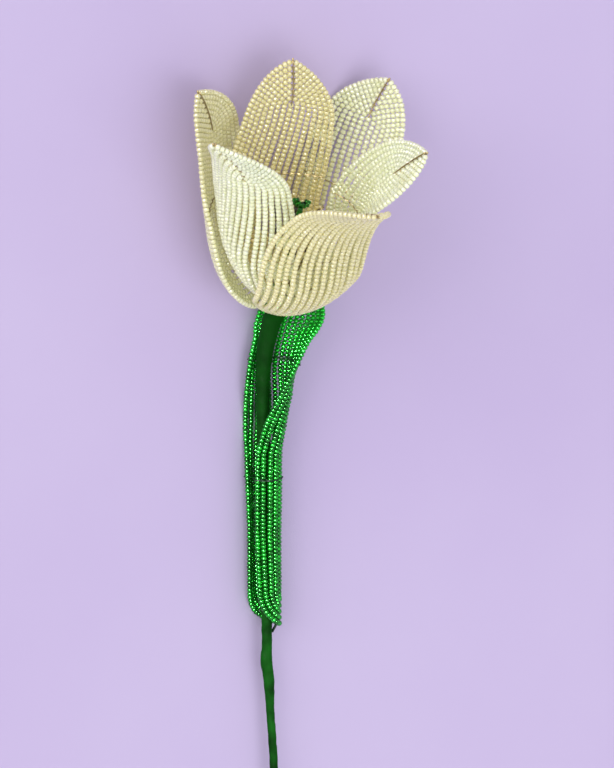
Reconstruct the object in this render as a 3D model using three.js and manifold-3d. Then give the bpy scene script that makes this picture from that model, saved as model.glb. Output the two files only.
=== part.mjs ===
// A tulip made of glass seed beads threaded on wire, lying on its back on a table.
// Six cream petals and one green leaf are nested loops of beads round a straight centre row. A wire
// spine crosses the loops at their pointed and rounded ends, and one lacing wire crosses the leaf.
// Millimetres, +Z up, the bloom towards +Y and the stem towards -Y, the table at z = 0.
import * as THREE from "three";
import { mergeVertices } from "three/addons/utils/BufferGeometryUtils.js";
import Module from "manifold-3d";

const wasm = await Module();
wasm.setup();

// Beads: the rows lie one bead apart and part a little between their ends.
const PETAL_ROW_PITCH = 2.1;
const PETAL_LOOPS = 7;
const PETAL_ROW_SPREAD = 0.22;
const LEAF_ROW_PITCH = 1.9;
const LEAF_LOOPS = 6;
const LEAF_ROW_SPREAD = 0.1;
// Half the angle between the two sides of a loop at its pointed end, in degrees.
const POINT_HALF_ANGLE = 64;

// A strand shows its beads larger than life: thick and thin rings take turns along it.
const STRAND_STEP = 5.5;
const PETAL_STRAND_RADII = [0.94, 0.7];
const LEAF_STRAND_RADII = [0.84, 0.62];
const WIRE_RADIUS = 0.4;
const STRAND_SIDES = 3;

// The bloom's axis starts at its base, lifts from the table and swings towards +X.
const BLOOM_BASE = new THREE.Vector3(-9.7, 70.5, 15.4);
const BLOOM_LIFT = 30.2;
const BLOOM_SWING = 10.7;

// Petals are laid from the base up. foot is where the petal starts, as its distance from the axis and
// its height. Angles in degrees: azimuths turn about the bloom's axis from its underside towards +X, and
// bend is the slope from square to the axis (0) to along it (90) at the stations of BEND_AT. cup is the
// radius across the petal at its foot, middle and tip. The tip leans sideways by lean, and leanFrom is
// the share of the length at which that starts.
const PETAL_LENGTH = 81;
const BEND_AT = [0, 0.2, 0.45, 0.75, 1];
const CUP_AT = [0, 0.5, 1];
const PETALS = [
  {
    foot: [5, -1.5], root: [4.1, -2.3], azimuths: [-75.5, -71.4], bend: [13, 49, 70, 78, 58],
    cup: [18, 24.9, 54.5], roll: 10, lean: -6.4, leanFrom: 0.55,
  },
  {
    foot: [4.2, 1.6], root: [2.6, -0.1], azimuths: [-27.5, -7.2], bend: [14, 56, 82, 71, 75],
    cup: [23, 33.5, 53], roll: -4.1, lean: -2, leanFrom: 0.5,
  },
  {
    foot: [5, -1.5], root: [4.1, -2.3], azimuths: [35, 23.3], bend: [8, 47, 65, 44, 85],
    cup: [20.3, 17.6, 58.4], roll: -6.3, lean: 7.5, leanFrom: 0.45,
  },
  {
    foot: [4.8, 2.2], root: [2.6, -0.1], azimuths: [86, 80.3], bend: [40, 50, 98, 62, 60],
    cup: [14, 14, 49.7], roll: -2.4, lean: 8.5, leanFrom: 0.45,
  },
  {
    foot: [4.6, -0.7], root: [4.1, -2.3], azimuths: [154.8, 166], bend: [35, 53, 101, 70, 35],
    cup: [14, 36.1, 43.7], roll: -3, lean: -12.5, leanFrom: 0.4,
  },
  {
    foot: [4.8, 2.2], root: [2.6, -0.1], azimuths: [-141.2, -167.7], bend: [44, 48, 99, 90, 64],
    cup: [14, 19.4, 18.6], roll: 18.9, lean: 6.8, leanFrom: 0.8,
  },
];

// The taped stem: points along its middle, measured from the bloom's base, with its radius at each.
const STEM_PATH = [
  [-0.23, -1.19, -0.7, 3.1],
  [-0.85, -3.6, -2, 3.3],
  [-2.6, -7.2, -3.3, 3.3],
  [-3.9, -12.5, -4.2, 3],
  [-4.8, -17.5, -4.6, 2.8],
  [-5.5, -26, -5, 2.3],
  [-5.4, -46, -6, 2.2],
  [-4.6, -76, -7.4, 2],
  [-4.4, -106, -8.8, 1.8],
  [-4.1, -126, -9.7, 1.5],
  [-3.2, -140, -10.4, 1.35],
  [-2, -160, -11.3, 1.35],
  [-1.6, -190, -12.7, 1.35],
  [-2, -222, -14.05, 1.35],
];
const STEM_SIDES = 8;
const STEM_STEPS = 32;
// Bound wire ends swell the tape: how far down the stem, towards which side, how much and how long.
const TAPE_BUMPS = [
  { along: 123, side: Math.PI, height: 0.7, length: 4 },
  { along: 130, side: 0, height: 0.6, length: 5 },
];

// The leaf is a sheath round the stem. At each station: how far from its foot, the radius of the wrap,
// how much tighter it is on the +X side, the slope of the sheet at the centre row in degrees, and that
// row's place beside and above the stem's middle.
const LEAF_LENGTH = 117.5;
const LEAF_FOOT_Y = -110;
const LEAF_STATIONS = [
  { along: 0, wrap: 4.9, tighter: 0, slope: 60, beside: 3.4, above: -2.4 },
  { along: 31.5, wrap: 4.8, tighter: 0, slope: 62, beside: 3.6, above: -2.8 },
  { along: 58.5, wrap: 5.2, tighter: 0.2, slope: 62, beside: 4.6, above: -3 },
  { along: 67.5, wrap: 5.8, tighter: 0.7, slope: 50, beside: 5.6, above: -3.4 },
  { along: 77.5, wrap: 6.8, tighter: 0.6, slope: 31, beside: 5.9, above: -3.8 },
  { along: 86.5, wrap: 7.9, tighter: -0.2, slope: 27, beside: 5.4, above: -4.5 },
  { along: 96.5, wrap: 9.6, tighter: -0.3, slope: 18, beside: 6.2, above: -5.4 },
  { along: 107.5, wrap: 26, tighter: 0, slope: 3, beside: 6.7, above: -7.6 },
  { along: 117.5, wrap: 40, tighter: 0, slope: 0, beside: 8.4, above: -9.3 },
];

// The parts inside the bloom stand on the neck, at heights along the bloom's axis.
const CENTRE_FOOT = -0.6;
const PISTIL = { height: 42, stalkRadius: 0.5, neckRadius: 1, lobeRadius: 1.6, lobeSpread: 1.7 };
const STAMEN = { height: 37, footRadius: 1.3, tipRadius: 8.5, filament: 0.45, anther: 1.05, antherLength: 13 };
const STAMEN_FIRST_AZIMUTH = 53;
const STAMEN_COUNT = 6;

// The whole flower rolls over until the leaf and two outer petals carry it on three low points.
// Degrees about X and then Y, and the shift that puts the table at z = 0 under its middle.
const SETTLE_PITCH = -1.54;
const SETTLE_ROLL = -20.99;
const SETTLE_SHIFT = [12.41, -0.49, 3.71];

const radians = THREE.MathUtils.degToRad;

// The value at x of the broken line through (xs, ys).
function along(x, xs, ys) {
  for (let i = 1; i < xs.length; i++) {
    if (x <= xs[i] || i === xs.length - 1) {
      return THREE.MathUtils.lerp(ys[i - 1], ys[i], (x - xs[i - 1]) / (xs[i] - xs[i - 1]));
    }
  }
  return ys[0];
}

function solidFrom(geometry) {
  const bare = geometry.clone();
  bare.deleteAttribute("normal");
  bare.deleteAttribute("uv");
  const merged = mergeVertices(bare, 1e-4);
  return new wasm.Manifold(
    new wasm.Mesh({
      numProp: 3,
      vertProperties: new Float32Array(merged.attributes.position.array),
      triVerts: new Uint32Array(merged.index.array),
    }),
  );
}

function joined(solids) {
  return solids.reduce((sum, solid) => sum.add(solid));
}

function geometryFrom(solid) {
  const mesh = solid.getMesh();
  const geometry = new THREE.BufferGeometry();
  geometry.setAttribute("position", new THREE.BufferAttribute(mesh.vertProperties, 3));
  geometry.setIndex(new THREE.BufferAttribute(mesh.triVerts, 1));
  geometry.computeVertexNormals();
  return geometry;
}

// Bends a closed strand or an open rod along points. frames[i] holds the middle, a side direction and
// its cross direction there, and radius(i, angle) gives the thickness.
function bent(geometry, ringOf, frames, radius) {
  const position = geometry.attributes.position;
  const place = new THREE.Vector3();
  for (let i = 0; i < position.count; i++) {
    place.fromBufferAttribute(position, i);
    const { ring, side, cross } = ringOf(place);
    const frame = frames[ring];
    const reach = radius(ring, Math.atan2(cross, side));
    place
      .copy(frame.middle)
      .addScaledVector(frame.side, side * reach)
      .addScaledVector(frame.cross, cross * reach);
    position.setXYZ(i, place.x, place.y, place.z);
  }
  return geometry;
}

// Frames along middles, with the side direction squared to the run of the points.
function framesAlong(middles, sides, closed) {
  const last = middles.length - 1;
  return middles.map((middle, i) => {
    const before = middles[i > 0 ? i - 1 : closed ? last : 0];
    const after = middles[i < last ? i + 1 : closed ? 0 : last];
    const run = after.clone().sub(before).normalize();
    const side = sides[i].clone().addScaledVector(run, -sides[i].dot(run)).normalize();
    return { middle, side, cross: side.clone().cross(run) };
  });
}

function closedStrand(middles, sides, radius, around = STRAND_SIDES) {
  const rings = middles.length;
  const torus = new THREE.TorusGeometry(2, 1, around, rings);
  const ringOf = (place) => {
    const turn = Math.atan2(place.y, place.x);
    const ring = (Math.round((turn / (2 * Math.PI)) * rings) + rings) % rings;
    return { ring, side: Math.hypot(place.x, place.y) - 2, cross: place.z };
  };
  return bent(torus, ringOf, framesAlong(middles, sides, true), radius);
}

function openStrand(middles, sides, radius, around = STRAND_SIDES) {
  const steps = middles.length - 1;
  const rod = new THREE.CylinderGeometry(1, 1, steps, around, steps);
  const ringOf = (place) => ({ ring: Math.round(place.y + steps / 2), side: place.x, cross: place.z });
  return bent(rod, ringOf, framesAlong(middles, sides, false), radius);
}

// The right half of one loop of the flat pattern, from its rounded foot to its point.
function halfLoop(halfWidth, footCentre, pointAt) {
  const halfAngle = radians(POINT_HALF_ANGLE);
  const arch = halfWidth / (1 - Math.cos(halfAngle));
  const points = [];
  const steps = 24;
  for (let i = 0; i <= steps; i++) {
    const turn = (i / steps) * (Math.PI / 2);
    points.push([halfWidth * Math.sin(turn), footCentre - halfWidth * Math.cos(turn)]);
  }
  for (let i = 0; i <= steps; i++) {
    const turn = (i / steps) * halfAngle;
    const rise = arch * (Math.sin(halfAngle) - Math.sin(turn));
    points.push([arch * (Math.cos(turn) - Math.cos(halfAngle)), pointAt - rise]);
  }
  return points;
}

// Points at even steps along a broken line of [across, along] pairs, both ends included.
function resampled(points, count) {
  const reach = [0];
  for (let i = 1; i < points.length; i++) {
    const step = Math.hypot(points[i][0] - points[i - 1][0], points[i][1] - points[i - 1][1]);
    reach.push(reach[i - 1] + step);
  }
  const total = reach[reach.length - 1];
  const pick = (column) => points.map((point) => point[column]);
  return Array.from({ length: count + 1 }, (_, i) => {
    const at = (i / count) * total;
    return [along(at, reach, pick(0)), along(at, reach, pick(1))];
  });
}

function lineLength(points) {
  let total = 0;
  for (let i = 1; i < points.length; i++) {
    total += Math.hypot(points[i][0] - points[i - 1][0], points[i][1] - points[i - 1][1]);
  }
  return total;
}

// A whole beaded blade: the centre row, its loops, both spines and the lacing, as one solid.
// place(across, along) puts a point of the flat pattern in space.
function beadedBlade({ place, length, loops, pitch, radii, root, lacings }) {
  const near = 0.4;
  const normalAt = (across, at) => {
    const up = place(across, at + near).sub(place(across, at - near));
    const over = place(across + near, at).sub(place(across - near, at));
    return over.cross(up).normalize();
  };
  const footCentre = loops * pitch;
  const pointCentre = length - loops * pitch;
  const beads = (ring) => radii[ring % 2];
  const wire = () => WIRE_RADIUS;
  const solids = [];
  const strand = (points, radius) => {
    const middles = points.map(([across, at]) => place(across, at));
    const sides = points.map(([across, at]) => normalAt(across, at));
    return solidFrom(openStrand(middles, sides, radius));
  };
  const centreSteps = 2 * Math.round((pointCentre - footCentre) / STRAND_STEP / 2);
  solids.push(strand(resampled([[0, footCentre], [0, pointCentre]], centreSteps), beads));
  for (let loop = 1; loop <= loops; loop++) {
    const half = halfLoop(loop * pitch, footCentre, pointCentre + loop * pitch);
    const steps = Math.round(lineLength(half) / STRAND_STEP);
    const right = resampled(half, steps);
    const left = right.slice(1, steps).reverse();
    const points = right.concat(left.map(([across, at]) => [-across, at]));
    const middles = points.map(([across, at]) => place(across, at));
    const sides = points.map(([across, at]) => normalAt(across, at));
    solids.push(solidFrom(closedStrand(middles, sides, beads)));
  }
  const sink = 1;
  solids.push(strand(resampled([[0, pointCentre - sink], [0, length + 0.3]], 5), wire));
  const footPoints = resampled([[0, footCentre + sink], [0, 0]], 6);
  const footMiddles = footPoints.map(([across, at]) => place(across, at)).concat([root]);
  const footSides = footPoints.map(([across, at]) => normalAt(across, at));
  footSides.push(footSides[footSides.length - 1]);
  solids.push(solidFrom(openStrand(footMiddles, footSides, wire)));
  for (const at of lacings) {
    const halfWidth = loops * pitch;
    solids.push(strand(resampled([[-halfWidth, at], [halfWidth, at]], 12), wire));
  }
  return geometryFrom(joined(solids));
}

// Rows lie close at both ends and part between them.
function spreadRows(across, at, length, spread) {
  const share = THREE.MathUtils.clamp((at - 8) / (length - 30), 0, 1);
  return across * (1 + spread * Math.sin(Math.PI * share));
}

const lift = radians(BLOOM_LIFT);
const swing = radians(BLOOM_SWING);
const AXIS = new THREE.Vector3(
  Math.cos(lift) * Math.sin(swing),
  Math.cos(lift) * Math.cos(swing),
  Math.sin(lift),
);
const UNDER = new THREE.Vector3(0, 0, -1).addScaledVector(AXIS, AXIS.z).normalize();
const BESIDE = UNDER.clone().cross(AXIS).normalize();

// A point of the bloom from its azimuth in radians, its distance from the axis, its height along it and
// a shift square to both.
function inBloom(azimuth, radius, height, shift = 0) {
  const out = UNDER.clone().multiplyScalar(Math.cos(azimuth)).addScaledVector(BESIDE, Math.sin(azimuth));
  const over = UNDER.clone().multiplyScalar(-Math.sin(azimuth)).addScaledVector(BESIDE, Math.cos(azimuth));
  return BLOOM_BASE.clone()
    .addScaledVector(AXIS, height)
    .addScaledVector(out, radius)
    .addScaledVector(over, shift);
}

// The petal's middle line, found by walking up it in short steps.
function middleLine(petal) {
  const steps = 90;
  const [footRadius, footHeight] = petal.foot;
  const line = { at: [0], radius: [footRadius], height: [footHeight], slope: [radians(petal.bend[0])] };
  for (let i = 1; i <= steps; i++) {
    const step = PETAL_LENGTH / steps;
    const halfway = radians(along((i - 0.5) / steps, BEND_AT, petal.bend));
    line.at.push(i * step);
    line.radius.push(line.radius[i - 1] + step * Math.cos(halfway));
    line.height.push(line.height[i - 1] + step * Math.sin(halfway));
    line.slope.push(radians(along(i / steps, BEND_AT, petal.bend)));
  }
  return line;
}

function petalPlace(petal) {
  const line = middleLine(petal);
  const [footAzimuth, tipAzimuth] = petal.azimuths.map(radians);
  return (across, at) => {
    const share = THREE.MathUtils.clamp(at / PETAL_LENGTH, 0, 1);
    const cup = along(share, CUP_AT, petal.cup);
    const turn = spreadRows(across, at, PETAL_LENGTH, PETAL_ROW_SPREAD) / cup;
    const inward = cup * (1 - Math.cos(turn));
    const slope = along(at, line.at, line.slope);
    const radius = along(at, line.at, line.radius) - inward * Math.sin(slope);
    const height = along(at, line.at, line.height) + inward * Math.cos(slope);
    const tiltedSideways = (at - 20) * Math.tan(radians(petal.roll)) * THREE.MathUtils.clamp((at - 10) / 20, 0, 1);
    const leaning = petal.lean * THREE.MathUtils.clamp((share - petal.leanFrom) / (1 - petal.leanFrom), 0, 1) ** 2;
    const twist = THREE.MathUtils.smoothstep(share, 0.3, 0.9);
    const azimuth = THREE.MathUtils.lerp(footAzimuth, tipAzimuth, twist);
    return inBloom(azimuth, radius, height, cup * Math.sin(turn) + tiltedSideways + leaning);
  };
}

function petalGeometry(petal) {
  const place = petalPlace(petal);
  const root = inBloom(radians(petal.azimuths[0]), ...petal.root);
  return beadedBlade({
    place,
    length: PETAL_LENGTH,
    loops: PETAL_LOOPS,
    pitch: PETAL_ROW_PITCH,
    radii: PETAL_STRAND_RADII,
    root,
    lacings: [],
  });
}

const stemCurve = new THREE.CatmullRomCurve3(
  STEM_PATH.map(([x, y, z]) => new THREE.Vector3(x, y, z).add(BLOOM_BASE)),
  false,
  "centripetal",
);

function stemGeometry() {
  const middles = stemCurve.getSpacedPoints(STEM_STEPS);
  const total = stemCurve.getLength();
  const run = [0];
  for (let i = 1; i < STEM_PATH.length; i++) {
    const here = new THREE.Vector3(...STEM_PATH[i]);
    run.push(run[i - 1] + here.distanceTo(new THREE.Vector3(...STEM_PATH[i - 1])));
  }
  const radii = STEM_PATH.map((point) => point[3]);
  const sides = middles.map(() => new THREE.Vector3(1, 0, 0));
  const radius = (ring, angle) => {
    const at = (ring / STEM_STEPS) * total;
    const swell = TAPE_BUMPS.reduce((sum, bump) => {
      const facing = Math.max(0, Math.cos(angle - bump.side));
      return sum + bump.height * facing * Math.exp(-(((at - bump.along) / bump.length) ** 2));
    }, 0);
    return along(at, run, radii) + swell;
  };
  return openStrand(middles, sides, radius, STEM_SIDES);
}

// The stem's middle where it passes a given y, or its neck past that.
function stemMiddleAt(y) {
  const points = stemCurve.getSpacedPoints(120).reverse();
  const ys = points.map((point) => point.y);
  const neckY = BLOOM_BASE.y + STEM_PATH[2][1];
  const held = Math.min(y, neckY);
  return new THREE.Vector3(
    along(held, ys, points.map((point) => point.x)),
    y,
    along(held, ys, points.map((point) => point.z)),
  );
}

function leafPlace(across, at) {
  const stations = LEAF_STATIONS.map((station) => station.along);
  const value = (name) => along(at, stations, LEAF_STATIONS.map((station) => station[name]));
  const halfWidth = LEAF_LOOPS * LEAF_ROW_PITCH;
  const target = spreadRows(across, at, LEAF_LENGTH, LEAF_ROW_SPREAD);
  const steps = 16;
  let beside = value("beside");
  let above = value("above");
  for (let i = 0; i < steps; i++) {
    const u = ((i + 0.5) / steps) * target;
    const slope = radians(value("slope")) + (u + (value("tighter") * u * u) / (2 * halfWidth)) / value("wrap");
    beside += (target / steps) * Math.cos(slope);
    above += (target / steps) * Math.sin(slope);
  }
  return stemMiddleAt(BLOOM_BASE.y + LEAF_FOOT_Y + at).add(new THREE.Vector3(beside, 0, above));
}

function leafGeometry() {
  const foot = leafPlace(0, 0);
  const stem = stemMiddleAt(foot.y - 3);
  const away = foot.clone().sub(stem).setY(0).normalize();
  const root = stem.addScaledVector(away, 2.6);
  return beadedBlade({
    place: leafPlace,
    length: LEAF_LENGTH,
    loops: LEAF_LOOPS,
    pitch: LEAF_ROW_PITCH,
    radii: LEAF_STRAND_RADII,
    root,
    lacings: [91.5],
  });
}

function pistilGeometry() {
  const stalkHeights = [CENTRE_FOOT, 8, 20, 30, PISTIL.height - PISTIL.lobeRadius];
  const middles = stalkHeights.map((height) => inBloom(0, 0, height));
  const sides = middles.map(() => UNDER);
  const radius = (ring) => (ring < 1 ? PISTIL.stalkRadius : PISTIL.neckRadius);
  const solids = [solidFrom(openStrand(middles, sides, radius, 6))];
  for (let lobe = 0; lobe < 3; lobe++) {
    const azimuth = (lobe / 3) * 2 * Math.PI + Math.PI;
    const centre = inBloom(azimuth, PISTIL.lobeSpread, PISTIL.height - PISTIL.lobeRadius);
    const ball = new THREE.SphereGeometry(PISTIL.lobeRadius, 7, 5);
    ball.translate(centre.x, centre.y, centre.z);
    solids.push(solidFrom(ball));
  }
  return geometryFrom(joined(solids));
}

function stamenGeometry(azimuth) {
  const steps = 9;
  const middles = [];
  for (let i = 0; i <= steps; i++) {
    const share = i / steps;
    const radius = THREE.MathUtils.lerp(STAMEN.footRadius, STAMEN.tipRadius, share ** 1.3);
    middles.push(inBloom(azimuth, radius, THREE.MathUtils.lerp(CENTRE_FOOT, STAMEN.height, share)));
  }
  const sides = middles.map(() => UNDER);
  const antherFrom = steps * (1 - STAMEN.antherLength / STAMEN.height);
  const radius = (ring) => {
    if (ring < antherFrom) return STAMEN.filament;
    return ring === steps ? STAMEN.anther * 0.55 : STAMEN.anther;
  };
  return openStrand(middles, sides, radius, 5);
}

function material(colour, roughness, metalness = 0) {
  return new THREE.MeshStandardMaterial({ color: colour, roughness, metalness });
}

const creamGlass = material(0xe9e3bd, 0.25);
const greenGlass = material(0x0d8a2a, 0.2);
const darkGreenGlass = material(0x14521c, 0.2);
const brownGlass = material(0x2b1708, 0.35);
const greenTape = material(0x0b5a12, 0.7);

const tulip = new THREE.Group();
const settled = new THREE.Group();
settled.rotation.set(radians(SETTLE_PITCH), radians(SETTLE_ROLL), 0, "YXZ");
settled.position.set(...SETTLE_SHIFT);
tulip.add(settled);

function addPiece(name, geometry, look) {
  const mesh = new THREE.Mesh(geometry, look);
  mesh.name = name;
  settled.add(mesh);
}

addPiece("stem", stemGeometry(), greenTape);
addPiece("leaf", leafGeometry(), greenGlass);
PETALS.forEach((petal, i) => addPiece(`petal_${i + 1}`, petalGeometry(petal), creamGlass));
addPiece("pistil", pistilGeometry(), darkGreenGlass);
for (let i = 0; i < STAMEN_COUNT; i++) {
  const azimuth = radians(STAMEN_FIRST_AZIMUTH + (i * 360) / STAMEN_COUNT);
  addPiece(`stamen_${i + 1}`, stamenGeometry(azimuth), brownGlass);
}

export default tulip;
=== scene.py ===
# %% [markdown]
# # A tulip made of glass seed beads
#
# The real object is an artificial flower. Small glass beads are threaded on thin craft wire, and the
# wire is laid in loops round a straight row, one loop outside the other, until it has the outline of a
# petal. Six such petals, a green leaf made the same way, six stamens and a pistil are bound to a stem
# and wound with green tape.
#
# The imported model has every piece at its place, but with few and coarse beads. This script lays the
# true rows again from the same sizes, with one small mesh for each bead, and gives the glass, the wire
# and the tape their finish.

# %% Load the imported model
import math
import random

import bmesh
import bpy
from mathutils import Matrix, Vector


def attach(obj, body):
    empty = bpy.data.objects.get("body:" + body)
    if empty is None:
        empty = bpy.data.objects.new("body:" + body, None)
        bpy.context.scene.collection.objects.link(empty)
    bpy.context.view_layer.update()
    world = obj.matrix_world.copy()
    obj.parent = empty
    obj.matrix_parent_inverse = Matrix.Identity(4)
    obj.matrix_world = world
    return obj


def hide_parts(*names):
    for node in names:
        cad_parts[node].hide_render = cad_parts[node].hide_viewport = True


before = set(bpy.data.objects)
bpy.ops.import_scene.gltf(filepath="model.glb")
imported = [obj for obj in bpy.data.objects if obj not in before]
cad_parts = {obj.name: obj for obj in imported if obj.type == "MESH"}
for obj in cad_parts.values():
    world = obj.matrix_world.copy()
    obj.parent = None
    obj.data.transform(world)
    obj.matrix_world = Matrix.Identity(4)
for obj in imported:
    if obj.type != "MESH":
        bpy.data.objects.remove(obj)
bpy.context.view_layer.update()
print("packed nodes:", sorted(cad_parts))

# %% [markdown]
# ## Where things are
#
# The flower is worked out in millimetres, as a maker would measure it, with its bloom lifted from the
# table. Then it rolls over a little and comes to rest on three low points. One function at the end of
# the chain does that roll and turns millimetres into Blender's metres, so that every piece agrees.

# %% The resting pose
MM = 0.001
BLOOM_BASE = Vector((-9.7, 70.5, 15.4))
BLOOM_LIFT = math.radians(30.2)
BLOOM_SWING = math.radians(10.7)
SETTLE_PITCH = math.radians(-1.54)
SETTLE_ROLL = math.radians(-20.99)
SETTLE_SHIFT = Vector((12.41, -0.49, 3.71))

SETTLE_TURN = Matrix.Rotation(SETTLE_ROLL, 3, "Y") @ Matrix.Rotation(SETTLE_PITCH, 3, "X")


def settled(point):
    """A point in millimetres before the roll, as the place in metres where it comes to rest."""
    return (SETTLE_TURN @ point + SETTLE_SHIFT) * MM


AXIS = Vector((
    math.cos(BLOOM_LIFT) * math.sin(BLOOM_SWING),
    math.cos(BLOOM_LIFT) * math.cos(BLOOM_SWING),
    math.sin(BLOOM_LIFT),
))
UNDER = (AXIS * AXIS.z - Vector((0, 0, 1))).normalized()
BESIDE = UNDER.cross(AXIS).normalized()
print("bloom axis after the roll:", SETTLE_TURN @ AXIS)

# %% Small sums that many steps share


def clamp(value, low=0.0, high=1.0):
    return max(low, min(high, value))


def mix(a, b, share):
    return a + (b - a) * share


def smooth_step(value, low, high):
    share = clamp((value - low) / (high - low))
    return share * share * (3 - 2 * share)


def on_line(x, xs, ys):
    """The value at x of the broken line through (xs, ys)."""
    for i in range(1, len(xs)):
        if x <= xs[i] or i == len(xs) - 1:
            return mix(ys[i - 1], ys[i], (x - xs[i - 1]) / (xs[i] - xs[i - 1]))
    return ys[0]


# %% [markdown]
# ## One bead
#
# A seed bead is a short piece of glass tube whose ends were melted round, so it is a little shorter
# than it is thick and has a hole from end to end. It could be a torus, or a cylinder with bevelled
# ends. Thousands are needed, so this one starts from a sphere of only sixty faces. Its rings are moved
# to a fuller outline, and its poles are pushed in to make the mouths of the hole.

# %% Model the bead
BEAD_AROUND = 10
BEAD_RINGS = 6
# A ring's height on the sphere, its height on the bead and its radius there, as shares of one.
BEAD_OUTLINE = [(1.0, 0.6, 0.0), (0.87, 0.95, 0.57), (0.5, 0.62, 0.88), (0.0, 0.0, 1.0)]
# A vertex closer than this to the bead's axis is one of its two poles.
POLE_REACH = 1e-6


def bead_template():
    bm = bmesh.new()
    bmesh.ops.create_uvsphere(bm, u_segments=BEAD_AROUND, v_segments=BEAD_RINGS, radius=1)
    for vert in bm.verts:
        _, height, radius = min(BEAD_OUTLINE, key=lambda ring: abs(ring[0] - abs(vert.co.z)))
        across = Vector((vert.co.x, vert.co.y, 0))
        if across.length > POLE_REACH:
            across = across.normalized() * radius
        vert.co = across + Vector((0, 0, math.copysign(height, vert.co.z)))
    for face in bm.faces:
        face.smooth = True
    mesh = bpy.data.meshes.new("bead")
    bm.to_mesh(mesh)
    bm.free()
    return mesh


BEAD = bead_template()
print("one bead has", len(BEAD.polygons), "faces")

# %% [markdown]
# ## Strings of beads
#
# A string is a list of beads, each with its middle, the run of its wire and two numbers for its look:
# how pale its glass is, drawn at random from a fixed seed, and how much painted light it takes, which
# follows its place. Both go into a colour attribute. The first is the bead's own tint; the second is
# painted light: a golden glow in the petals and a lighter green in the leaf's fan, which stand for
# light and not for the glass. All the beads of a piece are copies of one template, moved into place in
# one pass.

# %% Thread beads along a line
rng = random.Random(11)
SIZE_SPREAD = 0.05
BEAD_WOBBLE = 0.05


def walk(points, pitch, gap_start, gap_end):
    """Middles and directions of beads threaded at even steps on a line of points."""
    reach = [0.0]
    for a, b in zip(points, points[1:]):
        reach.append(reach[-1] + (b - a).length)
    usable = reach[-1] - gap_start - gap_end
    count = max(1, round(usable / pitch))
    beads = []
    segment = 1
    for i in range(count):
        at = gap_start + (i + 0.5) * usable / count
        while segment < len(reach) - 1 and reach[segment] < at:
            segment += 1
        a, b = points[segment - 1], points[segment]
        share = (at - reach[segment - 1]) / (reach[segment] - reach[segment - 1])
        beads.append((a.lerp(b, share), (b - a).normalized()))
    return beads


def bead_matrix(middle, run, radius, half_length):
    """Puts the template at its settled place, its hole along run, a little uneven in set and size."""
    turn = (SETTLE_TURN @ run).to_track_quat("Z", "Y").to_matrix().to_4x4()
    spin = Matrix.Rotation(rng.uniform(0, math.tau), 4, "Z")
    wobble = Matrix.Rotation(rng.gauss(0, BEAD_WOBBLE), 4, "X")
    thick = radius * (1 + rng.uniform(-SIZE_SPREAD, SIZE_SPREAD)) * MM
    long = half_length * (1 + rng.uniform(-SIZE_SPREAD, SIZE_SPREAD)) * MM
    size = Matrix.Diagonal((thick, thick, long, 1))
    return Matrix.Translation(settled(middle)) @ turn @ wobble @ spin @ size


def bead_piece(name, strung):
    """One mesh of many beads. strung holds (matrix, pale, warm) for each."""
    bm = bmesh.new()
    look = bm.verts.layers.float_color.new("bead")
    for _ in strung:
        bm.from_mesh(BEAD)
    bm.verts.ensure_lookup_table()
    size = len(BEAD.vertices)
    for i, (matrix, pale, painted_light) in enumerate(strung):
        for vert in bm.verts[i * size:(i + 1) * size]:
            vert.co = matrix @ vert.co
            vert[look] = (pale, painted_light, 0, 1)
    mesh = bpy.data.meshes.new(name)
    bm.to_mesh(mesh)
    bm.free()
    piece = bpy.data.objects.new(name, mesh)
    bpy.context.collection.objects.link(piece)
    return piece


# %% [markdown]
# ## Wire
#
# Every wire, and the taped stem too, is a rod bent along a path. A curve with a bevel would do for
# plain wire, but the stem also needs its own relief. So one helper makes both: a cylinder is cut into
# rings with subdivide_edges, and each ring is moved to its place on the path.

# %% Bend a rod along a path
ROD = bpy.data.meshes.new("rod")


def path_frames(path, side_hint):
    """For each point of the path its middle and two directions square to the run."""
    frames = []
    for i, middle in enumerate(path):
        run = (path[min(i + 1, len(path) - 1)] - path[max(i - 1, 0)]).normalized()
        side = (side_hint - run * side_hint.dot(run)).normalized()
        frames.append((middle, side, run.cross(side)))
    return frames


def bend_rod(bm, path, radius_at, sides=5, side_hint=Vector((0.3, 0.2, 1))):
    """Adds a closed rod. radius_at(step, angle) is its radius in millimetres."""
    steps = len(path) - 1
    rod = bmesh.new()
    bmesh.ops.create_cone(rod, cap_ends=True, segments=sides, radius1=1, radius2=1, depth=steps)
    long_edges = [edge for edge in rod.edges if abs(edge.verts[0].co.z - edge.verts[1].co.z) > 0.5]
    bmesh.ops.subdivide_edges(rod, edges=long_edges, cuts=steps - 1)
    frames = path_frames(path, side_hint)
    for vert in rod.verts:
        step = round(vert.co.z + steps / 2)
        middle, side, cross = frames[step]
        angle = math.atan2(vert.co.y, vert.co.x)
        reach = radius_at(step, angle)
        vert.co = settled(middle + (side * math.cos(angle) + cross * math.sin(angle)) * reach)
    for face in rod.faces:
        face.smooth = len(face.verts) == 4
    rod.to_mesh(ROD)
    rod.free()
    bm.from_mesh(ROD)


def mesh_piece(name, bm):
    mesh = bpy.data.meshes.new(name)
    bm.to_mesh(mesh)
    bm.free()
    piece = bpy.data.objects.new(name, mesh)
    bpy.context.collection.objects.link(piece)
    return piece


# %% [markdown]
# ## The flat pattern of a blade
#
# Before it is shaped, a petal is flat: a straight centre row, and loops round it that are round at the
# foot and come to a point at the tip. The maker then spreads the rows in the middle, some more than
# others, which leaves thin slits between them. The pattern is drawn in two numbers, across and along,
# and each blade has its own function that puts such a point in space.

# %% Draw the loops
POINT_HALF_ANGLE = math.radians(64)
ARC_STEPS = 14
STRAIGHT_STEP = 2.5
# The rows part from this far above the foot to this far below the tip.
PARTED_FROM_FOOT = 8
PARTED_TO_TIP = 22


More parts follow.
